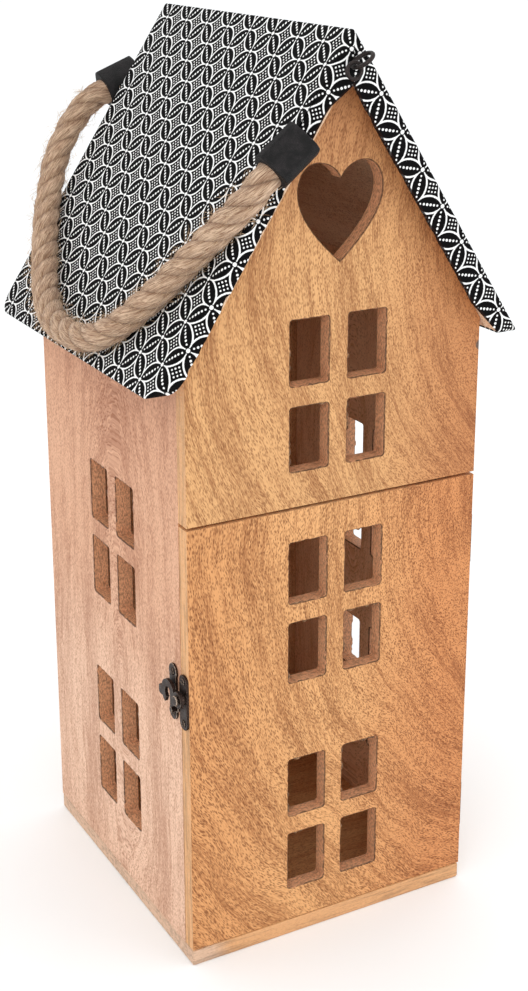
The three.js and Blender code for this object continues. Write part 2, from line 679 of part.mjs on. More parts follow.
export default lantern;
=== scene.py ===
import json
import math
import random

import bmesh
import bpy
from mathutils import Matrix, Vector, noise


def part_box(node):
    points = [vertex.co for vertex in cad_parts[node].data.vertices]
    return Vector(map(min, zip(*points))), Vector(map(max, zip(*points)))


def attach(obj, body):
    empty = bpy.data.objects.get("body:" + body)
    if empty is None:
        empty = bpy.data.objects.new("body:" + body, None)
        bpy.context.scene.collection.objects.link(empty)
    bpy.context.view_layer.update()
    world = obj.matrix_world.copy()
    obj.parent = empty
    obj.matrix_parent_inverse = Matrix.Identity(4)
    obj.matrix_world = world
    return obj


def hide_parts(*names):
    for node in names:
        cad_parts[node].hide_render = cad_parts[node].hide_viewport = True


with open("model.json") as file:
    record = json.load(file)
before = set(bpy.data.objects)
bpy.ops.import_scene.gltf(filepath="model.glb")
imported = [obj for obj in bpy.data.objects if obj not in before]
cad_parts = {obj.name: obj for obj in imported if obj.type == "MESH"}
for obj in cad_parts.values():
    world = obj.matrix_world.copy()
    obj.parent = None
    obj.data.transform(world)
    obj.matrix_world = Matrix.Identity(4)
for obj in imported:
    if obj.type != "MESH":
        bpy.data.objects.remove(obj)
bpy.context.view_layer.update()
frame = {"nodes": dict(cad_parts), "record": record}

# Roof, in metres. Each eave has its level, then how far its outer and inner corners stand from the middle
PITCH = math.radians(57)
RIDGE = 0.426515
APEX = 0.40999
LEFT_EAVE = (0.280641, 0.094731, 0.084)
RIGHT_EAVE = (0.287724, 0.090131, 0.0794)
ROOF_HALF = 0.089
EAVE_CORNER = 0.0095
CORNER_STEPS = 8

# Cloth: its thickness, the round of its folds, the flap under the front peak, its hems, and the width of the
# painted shadow line along the right side of the hems
CLOTH = 0.00075
CLOTH_FOLD = 0.0017
FLAP = 0.011
PEAK_DROP = 0.0067
LEFT_LIFT = 0.002
RIGHT_HEM = 0.0044
HEM_RISE = 0.016
HEM_SHADOW_LINE = 0.0011
HEM_CUTS = 44
HEM_WAVE = 0.0008
HEM_WAVELENGTH = 0.0105
HEM_WANDER = 0.0012
RIGHT_WAVE = 0.35
EAVE_STRETCH = 1.842
RIDGE_SHIFT = 0.0017

# Boards: the cut-outs and the part of a board that holds them, the eased edges, and the ragged sawn rims
WINDOW_COLUMNS = (-0.0146, 0.0146)
WINDOW_HEIGHT = 0.0295
HEART_LEVEL = 0.3667
CUT_OUT_REACH = 0.03
CUT_OUT_LOW, CUT_OUT_HIGH = 0.002, 0.015
BACK_EDGE = 0.0007
BASE_EDGE = 0.001
ROOF_EDGE = 0.0006
RIM_EDGE = 0.0005
RIM_STEP = 0.0018
RIM_WANDER = 0.00016
SMALL_FACE = 2e-5
MERGE = 2e-6

# Hardware: the eased edges, and the cuffs, whose outer side lies between two distances from the middle
HINGE_EDGE = 0.00015
LATCH_EDGE = 0.0004
LATCH_SCREW_EDGE = 0.00012
HANGER_EDGE = 0.0001
NAIL_EDGE = 0.00025
CUFF_EDGE = 0.0003
CUFF_Y = 0.09775
CUFF_TURN = math.radians(32)
CUFF_OUTSIDE = (0.0074, 0.0086)
CUFF_SQUARE = 6

# Rope and its loose fibres
ROPE_WIDTH = 0.0115
ROPE_LAY = 0.033
ROPE_STEP = 0.002
ROPE_HEIGHT = 0.0063
STRANDS = 3
STRAND = 0.0046
STRAND_CENTRE = 0.0019
STRAND_SIDES = 20
STRAND_SWELL = 0.05
CURVE_CUTS = 40
FIBRES = 1800
FIBRE = 0.00006
FIBRE_LENGTH = (0.0012, 0.0032)
FIBRE_BEND = 0.4
BARE_END = 9


def tone(red, green, blue):
    """A colour as the eye reads it, 0 to 255, turned into the shader's linear values."""
    def linear(value):
        value /= 255
        return value / 12.92 if value <= 0.04045 else ((value + 0.055) / 1.055) ** 2.4
    return (linear(red), linear(green), linear(blue), 1.0)


# Shader building

def node(tree, kind, inputs=(), **settings):
    made = tree.nodes.new(kind)
    for name, value in settings.items():
        setattr(made, name, value)
    for name, value in dict(inputs).items():
        if isinstance(value, bpy.types.NodeSocket):
            tree.links.new(value, made.inputs[name])
        else:
            made.inputs[name].default_value = value
    return made


def sums(tree, operation, first, second=0.0, clamp=False):
    """One step of arithmetic between sockets or numbers."""
    values = {0: first, 1: second}
    return node(tree, "ShaderNodeMath", values, operation=operation, use_clamp=clamp).outputs[0]


def distance(tree, first, second):
    """The length of the line with these two sides."""
    squares = [sums(tree, "MULTIPLY", side, side) for side in (first, second)]
    return sums(tree, "SQRT", sums(tree, "ADD", *squares))


def ramp(tree, value, low, high, to_low=0.0, to_high=1.0):
    """A soft step of value from low to high."""
    values = {"Value": value, "From Min": low, "From Max": high, "To Min": to_low, "To Max": to_high}
    return node(tree, "ShaderNodeMapRange", values, interpolation_type="SMOOTHSTEP").outputs[0]


def blend(tree, factor, first, second, way="MIX"):
    made = node(tree, "ShaderNodeMix", {0: factor, 6: first, 7: second}, data_type="RGBA", blend_type=way)
    return made.outputs[2]


def vector(tree, x, y, z=0.0):
    return node(tree, "ShaderNodeCombineXYZ", {"X": x, "Y": y, "Z": z}).outputs[0]


def mottle(tree, where, detail=2.0, rough=0.5, scale=1.0):
    values = {"Vector": where, "Scale": scale, "Detail": detail, "Roughness": rough}
    return node(tree, "ShaderNodeTexNoise", values).outputs[0]


def new_group(name, inputs, outputs):
    tree = bpy.data.node_groups.new(name, "ShaderNodeTree")
    for label, kind, value in inputs:
        socket = tree.interface.new_socket(label, in_out="INPUT", socket_type="NodeSocket" + kind)
        if value is not None:
            socket.default_value = value
    for label, kind in outputs:
        tree.interface.new_socket(label, in_out="OUTPUT", socket_type="NodeSocket" + kind)
    return tree, tree.nodes.new("NodeGroupInput").outputs, tree.nodes.new("NodeGroupOutput").inputs


def use_group(tree, group, inputs):
    return node(tree, "ShaderNodeGroup", inputs, node_tree=group).outputs


def new_material(name):
    material = bpy.data.materials.new(name)
    material.use_nodes = True
    tree = material.node_tree
    tree.nodes.clear()
    shader = tree.nodes.new("ShaderNodeBsdfPrincipled")
    output = tree.nodes.new("ShaderNodeOutputMaterial")
    tree.links.new(shader.outputs[0], output.inputs[0])
    return material, tree, shader


def raise_surface(tree, shader, height, distance, strength=1.0):
    values = {"Height": height, "Distance": distance, "Strength": strength}
    tree.links.new(node(tree, "ShaderNodeBump", values).outputs[0], shader.inputs["Normal"])


def in_millimetres(tree):
    """Object coordinates in millimetres, as three sockets."""
    place = node(tree, "ShaderNodeTexCoord").outputs["Object"]
    scaled = node(tree, "ShaderNodeVectorMath", {0: place, 3: 1000.0}, operation="SCALE").outputs[0]
    return node(tree, "ShaderNodeSeparateXYZ", {0: scaled}).outputs


def edge_marks(tree):
    """The marks left on a piece: red on a burnt edge, or a hardware edge with wear and a painted highlight,
    green on a sawn face, blue on an inner face.
    """
    marks = node(tree, "ShaderNodeAttribute", attribute_name="saw").outputs["Color"]
    return node(tree, "ShaderNodeSeparateColor", {0: marks}).outputs


def timber_group():
    """Mango wood: soft bands and streaks along the grain, with short pores and pale flecks between them."""
    tree, given, out = new_group("timber", [
        ("Across", "Float", 0.0), ("Along", "Float", 0.0), ("Depth", "Float", 0.0),
        ("Light", "Color", None), ("Dark", "Color", None), ("Pore", "Color", None),
        ("Pores", "Float", 1.0), ("Bands", "Float", 1.0), ("Streaks", "Float", 1.0),
    ], [("Color", "Color"), ("Roughness", "Float"), ("Height", "Float")])

    def stretched(across, along, depth, start=0.0):
        """The place in the wood, divided by the millimetres over which a feature changes."""
        return vector(
            tree,
            sums(tree, "ADD", sums(tree, "DIVIDE", given["Across"], across), start),
            sums(tree, "DIVIDE", given["Along"], along),
            sums(tree, "DIVIDE", given["Depth"], depth),
        )

    bands = ramp(tree, mottle(tree, stretched(13.0, 150.0, 40.0), 3.0, 0.55), 0.32, 0.68)
    streaks = mottle(tree, stretched(1.9, 34.0, 3.0), 3.0, 0.6)
    fine = mottle(tree, stretched(0.55, 8.0, 0.6, 31.0), 2.0, 0.6)
    crowd = mottle(tree, stretched(8.0, 36.0, 40.0, 57.0), 2.0, 0.5)

    def dashes(across, along, start, common, rare):
        """Short dashes along the grain, one in each small cell, left out of some of the cells."""
        cells = {"Vector": stretched(across, along, 1.0, start), "Scale": 1.0}
        cells = node(tree, "ShaderNodeTexVoronoi", cells, voronoi_dimensions="2D").outputs
        chance = node(tree, "ShaderNodeSeparateColor", {0: cells["Color"]}).outputs[0]
        radius = sums(tree, "ADD", 0.1, sums(tree, "MULTIPLY", crowd, 0.36))
        dash = ramp(tree, sums(tree, "SUBTRACT", cells["Distance"], radius), 0.1, -0.14)
        return sums(tree, "MULTIPLY", dash, ramp(tree, chance, rare, common))

    flecks = mottle(tree, stretched(0.42, 2.1, 0.5, 83.0), 1.0, 0.5)
    dark = sums(tree, "MULTIPLY", bands, given["Bands"])
    streak = sums(tree, "MULTIPLY", sums(tree, "SUBTRACT", streaks, 0.5), given["Streaks"])
    dark = sums(tree, "ADD", dark, sums(tree, "MULTIPLY", streak, 2.4))
    dark = sums(tree, "ADD", dark, sums(tree, "MULTIPLY", sums(tree, "SUBTRACT", fine, 0.5), 2.2))
    fleck = sums(tree, "MULTIPLY", sums(tree, "SUBTRACT", 0.5, flecks), given["Pores"])
    dark = sums(tree, "ADD", dark, sums(tree, "MULTIPLY", fleck, 3.4), clamp=True)
    colour = blend(tree, dark, given["Light"], given["Dark"])
    pore = sums(tree, "MAXIMUM", dashes(0.64, 1.9, 0.0, 0.5, 0.05), dashes(1.1, 3.2, 19.0, 1.0, 0.55))
    pore = sums(tree, "MULTIPLY", pore, given["Pores"], clamp=True)
    colour = blend(tree, pore, colour, given["Pore"])
    tree.links.new(colour, out["Color"])
    rough = sums(tree, "ADD", 0.5, sums(tree, "MULTIPLY", streaks, 0.18))
    tree.links.new(sums(tree, "ADD", rough, sums(tree, "MULTIPLY", pore, 0.2)), out["Roughness"])
    relief = sums(tree, "SUBTRACT", sums(tree, "MULTIPLY", fine, 0.35), pore)
    tree.links.new(relief, out["Height"])
    return tree


def petal_group():
    """Printed cloth: overlapping circles whose petals and gaps hold rows of dots. Where is in millimetres."""
    tree, given, out = new_group("petal_print", [
        ("Where", "Vector", None), ("Line", "Float", 0.3),
    ], [("Ink", "Float")])
    apart = node(tree, "ShaderNodeSeparateXYZ", {0: given["Where"]}).outputs
    # The first crossing of the circles, half of the period each way, and the side of one cell
    first_crossing = (3.3, 17.86)
    half_period = (10.65, 9.96)
    cell = 14.6
    p = sums(tree, "DIVIDE", sums(tree, "SUBTRACT", apart[0], first_crossing[0]), half_period[0])
    q = sums(tree, "DIVIDE", sums(tree, "SUBTRACT", apart[1], first_crossing[1]), half_period[1])
    first = sums(tree, "FRACT", sums(tree, "MULTIPLY", sums(tree, "ADD", p, q), 0.5))
    second = sums(tree, "FRACT", sums(tree, "MULTIPLY", sums(tree, "SUBTRACT", q, p), 0.5))
    near_first = sums(tree, "MINIMUM", first, sums(tree, "SUBTRACT", 1.0, first))
    near_second = sums(tree, "MINIMUM", second, sums(tree, "SUBTRACT", 1.0, second))
    off = sums(tree, "MINIMUM", near_first, near_second)
    turned = sums(tree, "LESS_THAN", near_first, near_second)
    swap = sums(tree, "MULTIPLY", turned, sums(tree, "SUBTRACT", second, first))
    along = sums(tree, "SUBTRACT", sums(tree, "ADD", first, swap), 0.5)

    def step(value):
        """One where the value, in millimetres, is below zero, with a soft edge."""
        return ramp(tree, value, -0.09, 0.09, 1.0, 0.0)

    # A petal's side is an arc whose centre lies beyond its middle line, both in shares of a cell
    arc_centre, arc_radius = 0.3392, 0.6042
    round_line = sums(tree, "SUBTRACT", distance(tree, sums(tree, "ADD", off, arc_centre), along), arc_radius)
    edge = sums(tree, "MULTIPLY", sums(tree, "ABSOLUTE", round_line), cell)
    line = step(sums(tree, "SUBTRACT", edge, given["Line"]))

    def beat_of(value, gap):
        """Distance in millimetres from the nearest of the dots that stand gap apart."""
        beat = sums(tree, "ADD", sums(tree, "DIVIDE", value, gap), 0.5)
        beat = sums(tree, "SUBTRACT", sums(tree, "FRACT", beat), 0.5)
        return sums(tree, "MULTIPLY", beat, gap * cell)

    # Six dots along the middle of each petal, smaller towards its tips
    dot_gap, dot_reach = 0.124, 0.365
    dot_beat = beat_of(sums(tree, "ADD", along, dot_gap / 2), dot_gap)
    dot = distance(tree, dot_beat, sums(tree, "MULTIPLY", off, cell))
    dot_radius = ramp(tree, sums(tree, "ABSOLUTE", along), 0.1, 0.3, 0.62, 0.44)
    dot = step(sums(tree, "SUBTRACT", dot, dot_radius))
    dot = sums(tree, "MULTIPLY", dot, sums(tree, "LESS_THAN", sums(tree, "ABSOLUTE", along), dot_reach))

    # Three by three dots in the gap between four petals
    seed_gap, seed_radius, seed_margin = 0.115, 0.42, 0.32
    first_off = sums(tree, "SUBTRACT", first, 0.5)
    second_off = sums(tree, "SUBTRACT", second, 0.5)
    seed = distance(tree, beat_of(first_off, seed_gap), beat_of(second_off, seed_gap))
    seed = step(sums(tree, "SUBTRACT", seed, seed_radius))
    inside = sums(tree, "GREATER_THAN", off, seed_margin)
    seed = sums(tree, "MULTIPLY", seed, inside)

    # A white spot in a thin black ring where the circles cross
    spot_radius, ring_radius = 0.95, 1.4
    from_crossing = sums(tree, "MULTIPLY", distance(tree, near_first, near_second), cell)
    spot = step(sums(tree, "SUBTRACT", from_crossing, spot_radius))
    ring = step(sums(tree, "SUBTRACT", from_crossing, ring_radius))
    ink = sums(tree, "MAXIMUM", sums(tree, "MAXIMUM", line, dot), seed)
    ink = sums(tree, "SUBTRACT", ink, sums(tree, "MULTIPLY", ring, 0.85), clamp=True)
    tree.links.new(sums(tree, "MAXIMUM", ink, spot), out["Ink"])
    return tree


TIMBER = timber_group()
PETALS = petal_group()


def board_material(name, plane, centre, reach, light, dark, pore, pores, bands, streaks,
                   patches=(), flat=1.0, edge=(216, 164, 116), sawn=(214, 154, 115), inside=None, chip=None):
    """Wood for one board. plane gives the two axes that its broad face lies in, across and along the grain.
    The grain runs in arcs round centre, in millimetres, or in long arches where flat is small. The narrow
    edges of the board show long straight lines in the edge tone. A chip is one small dark mark, given by
    its place across and along and its half width and height."""
    material, tree, shader = new_material(name)
    axes = in_millimetres(tree)
    across = axes["XYZ".index(plane[0])]
    along = axes["XYZ".index(plane[1])]
    depth = axes["XYZ".index(({"X", "Y", "Z"} - set(plane)).pop())]

    def noise_over(*sizes, detail, rough):
        """Noise that changes over these millimetres across, along and through the board."""
        place = [sums(tree, "DIVIDE", value, size) for value, size in zip((across, along, depth), sizes)]
        return mottle(tree, vector(tree, *place), detail, rough)

    wander = noise_over(38.0, 70.0, 60.0, detail=3.0, rough=0.5)
    wander = sums(tree, "MULTIPLY", sums(tree, "SUBTRACT", wander, 0.5), 16.0)
    inward = sums(tree, "SUBTRACT", centre[0], across)
    rise = sums(tree, "MULTIPLY", sums(tree, "SUBTRACT", along, centre[1]), flat)
    ring = sums(tree, "ADD", distance(tree, inward, rise), wander)
    round_way = sums(tree, "MULTIPLY", sums(tree, "ARCTAN2", rise, inward), reach)
    way = round_way if flat > 0.5 else along
    wood = use_group(tree, TIMBER, {
        "Across": ring, "Along": way, "Depth": depth, "Light": tone(*light), "Dark": tone(*dark),
        "Pore": tone(*pore), "Pores": pores, "Bands": bands, "Streaks": streaks,
    })
    colour = wood["Color"]
    edge_wood = use_group(tree, TIMBER, {
        "Across": sums(tree, "ADD", depth, sums(tree, "MULTIPLY", wander, 0.25)),
        "Along": along, "Depth": across,
        "Light": tone(*edge), "Dark": tone(*[value * 0.8 for value in edge]), "Pore": tone(*pore),
        "Pores": 0.2, "Bands": 0.4, "Streaks": 1.8,
    })
    edge_mark = node(tree, "ShaderNodeAttribute", attribute_name="edge_grain").outputs["Fac"]
    colour = blend(tree, edge_mark, colour, edge_wood["Color"])
    # Each patch multiplies a tint in along one axis: wood tone on some boards, painted shade on others.
    for tint, axis, low, high, amount in patches:
        place = axes["XYZ".index(axis)]
        mask = ramp(tree, sums(tree, "ADD", place, sums(tree, "MULTIPLY", wander, 1.4)), low, high)
        mask = sums(tree, "MULTIPLY", mask, amount)
        colour = blend(tree, mask, colour, tone(*tint), "MULTIPLY")
    if chip:
        chip_side = sums(tree, "DIVIDE", sums(tree, "SUBTRACT", across, chip[0]), chip[2])
        chip_rise = sums(tree, "DIVIDE", sums(tree, "SUBTRACT", along, chip[1]), chip[3])
        near = [sums(tree, "MULTIPLY", value, value) for value in (chip_side, chip_rise)]
        near = sums(tree, "ADD", *near)
        colour = blend(tree, ramp(tree, near, 1.3, 0.5, 0.0, 0.9), colour, tone(88, 76, 70))
    burnt_mark, sawn_mark, inner_mark = edge_marks(tree)
    rough_saw = noise_over(1.6, 1.6, 0.7, detail=2.0, rough=0.6)
    raised, hollow = [tone(*[value * share for value in sawn]) for share in (1.06, 0.7)]
    sawn_tone = blend(tree, ramp(tree, rough_saw, 0.35, 0.7), raised, hollow)
    colour = blend(tree, sums(tree, "MULTIPLY", sawn_mark, 0.85), colour, sawn_tone)
    # Inner faces are made paler: painted light, so the shaded inside of the lantern reads as lit.
    if inside:
        colour = blend(tree, inner_mark, colour, (*inside, 1.0), "MULTIPLY")
    burnt = sums(tree, "MULTIPLY", burnt_mark, ramp(tree, rough_saw, 0.25, 0.6, 0.5, 0.85))
    colour = blend(tree, burnt, colour, tone(58, 30, 17))
    tree.links.new(colour, shader.inputs["Base Color"])
    tree.links.new(wood["Roughness"], shader.inputs["Roughness"])
    shader.inputs["Specular IOR Level"].default_value = 0.3
    saw_relief = sums(tree, "MULTIPLY", sums(tree, "MULTIPLY", sawn_mark, rough_saw), 2.0)
    raise_surface(tree, shader, sums(tree, "ADD", wood["Height"], saw_relief), 0.00018, 0.8)
    return material


def cloth_material():
    material, tree, shader = new_material("printed_cotton")
    place = node(tree, "ShaderNodeUVMap", uv_map="cloth").outputs[0]
    where = node(tree, "ShaderNodeVectorMath", {0: place, 3: 1000.0}, operation="SCALE").outputs[0]
    apart = node(tree, "ShaderNodeSeparateXYZ", {0: where}).outputs
    wobble = node(tree, "ShaderNodeTexNoise", {"Vector": where, "Scale": 0.9, "Detail": 1.0}).outputs["Color"]
    shift = {0: wobble, 1: (0.5, 0.5, 0.5)}
    shift = node(tree, "ShaderNodeVectorMath", shift, operation="SUBTRACT").outputs[0]
    shift = node(tree, "ShaderNodeVectorMath", {0: shift, 3: 0.28}, operation="SCALE").outputs[0]
    printed = node(tree, "ShaderNodeVectorMath", {0: where, 1: shift}, operation="ADD").outputs[0]
    ink = use_group(tree, PETALS, {"Where": printed, "Line": 0.4})["Ink"]
    thread_beat = 2 * math.pi / 0.62
    weave = sums(tree, "MULTIPLY", *[
        sums(tree, "SINE", sums(tree, "MULTIPLY", apart[axis], thread_beat)) for axis in (0, 1)])
    thread = mottle(tree, where, 2.0, 0.6, 1.7)
    white = blend(tree, ramp(tree, thread, 0.3, 0.7), tone(255, 255, 253), tone(238, 237, 236))
    black = blend(tree, ramp(tree, thread, 0.3, 0.7), tone(5, 5, 5), tone(15, 14, 15))
    colour = blend(tree, ink, black, white)
    shade = ramp(tree, weave, -1.0, 1.0, 0.0, 0.04)
    colour = blend(tree, shade, colour, tone(60, 58, 58))
    # A thin dark line along the right side of the hems: painted shadow of the gap where the cloth stands off
    # the gable, also standing for the cloth's dark cut edge.
    hem = node(tree, "ShaderNodeAttribute", attribute_name="hem").outputs["Fac"]
    colour = blend(tree, ramp(tree, hem, 0.1, 0.4, 0.0, 0.95), colour, tone(34, 20, 15))
    tree.links.new(colour, shader.inputs["Base Color"])
    tree.links.new(sums(tree, "ADD", 0.82, sums(tree, "MULTIPLY", ink, 0.1)), shader.inputs["Roughness"])
    shader.inputs["Specular IOR Level"].default_value = 0.05
    height = sums(tree, "ADD", sums(tree, "MULTIPLY", weave, 0.4), sums(tree, "MULTIPLY", ink, 0.9))
    raise_surface(tree, shader, height, 0.00012, 0.7)
    return material


def rope_material():
    """Jute strands, with painted shade in the creases and on the strands' sides. The map runs along the
    strand in metres, and once round it, with the outside at 0.
    """
    material, tree, shader = new_material("twisted_jute")
    place = node(tree, "ShaderNodeUVMap", uv_map="strand").outputs[0]
    apart = node(tree, "ShaderNodeSeparateXYZ", {0: place}).outputs
    along = sums(tree, "MULTIPLY", apart[0], 1000.0)
    turn = sums(tree, "MULTIPLY", apart[1], 2 * math.pi)
    wrap = sums(tree, "MULTIPLY", turn, STRAND * 1000)
    lean = sums(tree, "ADD", wrap, sums(tree, "MULTIPLY", along, 0.75))

    def noise_over(across, lengthwise, detail, rough):
        """Noise that changes over these millimetres across and along the fibres."""
        place = vector(tree, sums(tree, "DIVIDE", lean, across), sums(tree, "DIVIDE", along, lengthwise))
        return mottle(tree, place, detail, rough)

    fibre = noise_over(0.34, 5.0, 3.0, 0.6)
    yarn = noise_over(1.3, 22.0, 2.0, 0.5)
    blotch = noise_over(9.0, 16.0, 2.0, 0.5)
    # Painted shade in the creases between the strands, stronger in some places than in others.
    crease_shade = ramp(tree, sums(tree, "COSINE", turn), 0.56, 0.2)
    crease_shade = sums(tree, "MULTIPLY", crease_shade, ramp(tree, blotch, 0.36, 0.62, 0.5, 1.0))
    mix = sums(tree, "ADD", sums(tree, "MULTIPLY", fibre, 0.75), sums(tree, "MULTIPLY", yarn, 0.35))
    colour = blend(tree, ramp(tree, mix, 0.41, 0.68), tone(136, 100, 74), tone(230, 198, 168))
    colour = blend(tree, ramp(tree, blotch, 0.35, 0.75, 0.0, 0.3), colour, tone(172, 130, 102))
    # Painted shade on the sides of each strand, so that it reads round.
    side = ramp(tree, sums(tree, "COSINE", turn), 0.95, 0.35, 0.0, 0.5)
    colour = blend(tree, side, colour, tone(128, 92, 66))
    colour = blend(tree, crease_shade, colour, tone(62, 38, 25))
    tree.links.new(colour, shader.inputs["Base Color"])
    tree.links.new(sums(tree, "ADD", 0.75, sums(tree, "MULTIPLY", fibre, 0.2)), shader.inputs["Roughness"])
    shader.inputs["Specular IOR Level"].default_value = 0.15
    shader.inputs["Sheen Weight"].default_value = 0.15
    raise_surface(tree, shader, sums(tree, "ADD", fibre, sums(tree, "MULTIPLY", yarn, 1.6)), 0.0008, 1.0)
    return material


def fuzz_material():
    material, tree, shader = new_material("jute_fuzz")
    axes = in_millimetres(tree)
    change = mottle(tree, vector(tree, axes[0], axes[1], axes[2]), 1.0, 0.5, 0.4)
    colour = blend(tree, ramp(tree, change, 0.35, 0.65), tone(188, 150, 112), tone(232, 202, 168))
    tree.links.new(colour, shader.inputs["Base Color"])
    tree.links.new(sums(tree, "ADD", 0.7, sums(tree, "MULTIPLY", change, 0.2)), shader.inputs["Roughness"])
    return material


def leather_material():
    material, tree, shader = new_material("black_leather")
    axes = in_millimetres(tree)
    place = vector(tree, axes[0], axes[1], axes[2])
    cells = {"Vector": place, "Scale": 1.5}
    grain = node(tree, "ShaderNodeTexVoronoi", cells, feature="DISTANCE_TO_EDGE").outputs[0]
    grain = ramp(tree, grain, 0.0, 0.25)
    scuff = mottle(tree, place, 4.0, 0.6, 0.22)
    colour = blend(tree, ramp(tree, scuff, 0.35, 0.7), tone(15, 14, 14), tone(46, 42, 43))
    furrow = sums(tree, "MULTIPLY", sums(tree, "SUBTRACT", 1.0, grain), 0.5)
    colour = blend(tree, furrow, colour, tone(10, 9, 9))
    # Eased edges made lighter: the leather's rubbed cut edge, with a painted highlight along it.
    cut_edge_and_highlight = sums(tree, "MULTIPLY", edge_marks(tree)[0], ramp(tree, scuff, 0.3, 0.65, 0.3, 0.9))
    colour = blend(tree, cut_edge_and_highlight, colour, tone(104, 99, 97))
    tree.links.new(colour, shader.inputs["Base Color"])
    tree.links.new(ramp(tree, scuff, 0.3, 0.8, 0.5, 0.75), shader.inputs["Roughness"])
    shader.inputs["Specular IOR Level"].default_value = 0.22
    raise_surface(tree, shader, sums(tree, "ADD", grain, sums(tree, "MULTIPLY", scuff, 3.0)), 0.0002, 0.8)
    return material


def metal_material(name, deep, worn_and_highlight, rust, shine):
    """Aged metal: dark in the hollows, rubbed bright on the high spots, with dull rusty patches. The bright
    rubbed edges are wear and a painted highlight together.
    """
    material, tree, shader = new_material(name)
    axes = in_millimetres(tree)
    place = vector(tree, axes[0], axes[1], axes[2])
    patch = mottle(tree, place, 4.0, 0.6, 0.35)
    speck = mottle(tree, place, 3.0, 0.6, 1.6)
    rub_and_highlight = sums(tree, "MULTIPLY", edge_marks(tree)[0], ramp(tree, speck, 0.3, 0.6))
    colour = blend(tree, ramp(tree, patch, 0.35, 0.7), tone(*deep), tone(*[value * 1.35 for value in deep]))
    colour = blend(tree, sums(tree, "MULTIPLY", ramp(tree, speck, 0.56, 0.68), 0.6), colour, tone(*rust))
    # Eased edges rubbed bright: wear, with a painted highlight along them.
    colour = blend(tree, sums(tree, "MULTIPLY", rub_and_highlight, 0.8), colour, tone(*worn_and_highlight))
    tree.links.new(colour, shader.inputs["Base Color"])
    tree.links.new(ramp(tree, speck, 0.5, 0.68, shine, 0.35), shader.inputs["Metallic"])
    tree.links.new(ramp(tree, patch, 0.3, 0.7, 0.34, 0.58), shader.inputs["Roughness"])
    raise_surface(tree, shader, speck, 0.0001, 0.6)
    return material


GOLD_PORE = (118, 68, 32)
BROWN_PORE = (128, 76, 42)
# Tints multiplied into the inner faces: painted light inside the lantern.
GOLD_INSIDE_LIGHT = (1.3, 1.45, 1.6)
PALE_INSIDE_LIGHT = (1.1, 1.05, 0.95)
WOODS = {
    "front_gable_panel": board_material(
        "gable_mango", "XZ", (190.0, 335.0), 180.0, (218, 166, 112), (169, 117, 73), GOLD_PORE,
        pores=0.58, bands=0.75, streaks=0.8,
        # The second patch darkens the top of the gable: wood tone, with painted shade under the roof's front
        # edge.
        patches=[((226, 198, 186), "X", 5.0, 70.0, 0.9), ((212, 190, 182), "Z", 325.0, 400.0, 0.9)],
        inside=GOLD_INSIDE_LIGHT, chip=(75.0, 281.0, 1.7, 2.3)),
    "door_panel": board_material(
        "door_mango", "XZ", (185.0, 205.0), 180.0, (224, 167, 111), (173, 118, 72), GOLD_PORE,
        pores=0.75, bands=0.7, streaks=0.9,
        patches=[((236, 208, 194), "X", -5.0, 65.0, 0.85), ((236, 214, 198), "X", -10.0, -70.0, 0.5)],
        edge=(230, 182, 132), inside=GOLD_INSIDE_LIGHT),
    "left_wall": board_material(
        "left_wall_mango", "YZ", (-6.0, 120.0), 1.0, (233, 193, 165), (191, 145, 118), (150, 98, 70),
        pores=0.55, bands=0.8, streaks=0.7, flat=0.2,
        # Both patches darken the wall towards the top: painted shade under the eave.
        patches=[((240, 222, 208), "Z", 80.0, 190.0, 0.9), ((226, 206, 196), "Z", 200.0, 300.0, 0.6)],
        inside=PALE_INSIDE_LIGHT),
    "right_wall": board_material(
        "right_wall_mango", "YZ", (14.0, 190.0), 1.0, (218, 168, 128), (196, 140, 98), (138, 86, 54),
        pores=0.5, bands=0.8, streaks=0.8, flat=0.2, inside=GOLD_INSIDE_LIGHT),
    "back_panel": board_material(
        "back_mango", "XZ", (-18.0, 150.0), 1.0, (218, 168, 122), (194, 138, 92), BROWN_PORE,
        pores=0.55, bands=0.8, streaks=0.8, flat=0.16),
    "base_board": board_material(
        "base_mango", "YX", (0.0, 60.0), 1.0, (222, 170, 116), (196, 138, 88), BROWN_PORE,
        pores=0.55, bands=0.8, streaks=0.9, flat=0.2,
        patches=[((252, 276, 325), "X", -52.0, -66.0, 1.0)]),
    "roof_board_left": board_material(
        "roof_mango", "XY", (0.0, 20.0), 1.0, (238, 204, 172), (216, 174, 138), BROWN_PORE,
        pores=0.4, bands=0.7, streaks=0.7, flat=0.2),
}
WOODS["roof_board_right"] = WOODS["roof_board_left"]
COTTON = cloth_material()
JUTE = rope_material()
FUZZ = fuzz_material()
LEATHER = leather_material()
BRONZE = metal_material("antique_bronze", (44, 34, 30), (206, 184, 164), (84, 56, 42), 0.9)
IRON = metal_material("dark_iron", (44, 39, 38), (130, 120, 112), (66, 50, 42), 0.9)


# Camera at the photograph's angle
lens = bpy.data.cameras.new("photo_camera")
lens.sensor_width = 36
lens.lens = 59.245
lens.shift_x = -0.0043
lens.shift_y = -0.0964
camera = bpy.data.objects.new("photo_camera", lens)
bpy.context.scene.collection.objects.link(camera)
camera.matrix_world = Matrix((
    (0.87499, 0.1454, -0.46179, -0.35761),
    (-0.48414, 0.26278, -0.8346, -0.66289),
    (0.0, 0.95384, 0.30032, 0.48091),
    (0.0, 0.0, 0.0, 1.0),
))
bpy.context.scene.camera = camera
bpy.context.scene.view_settings.view_transform = "Standard"


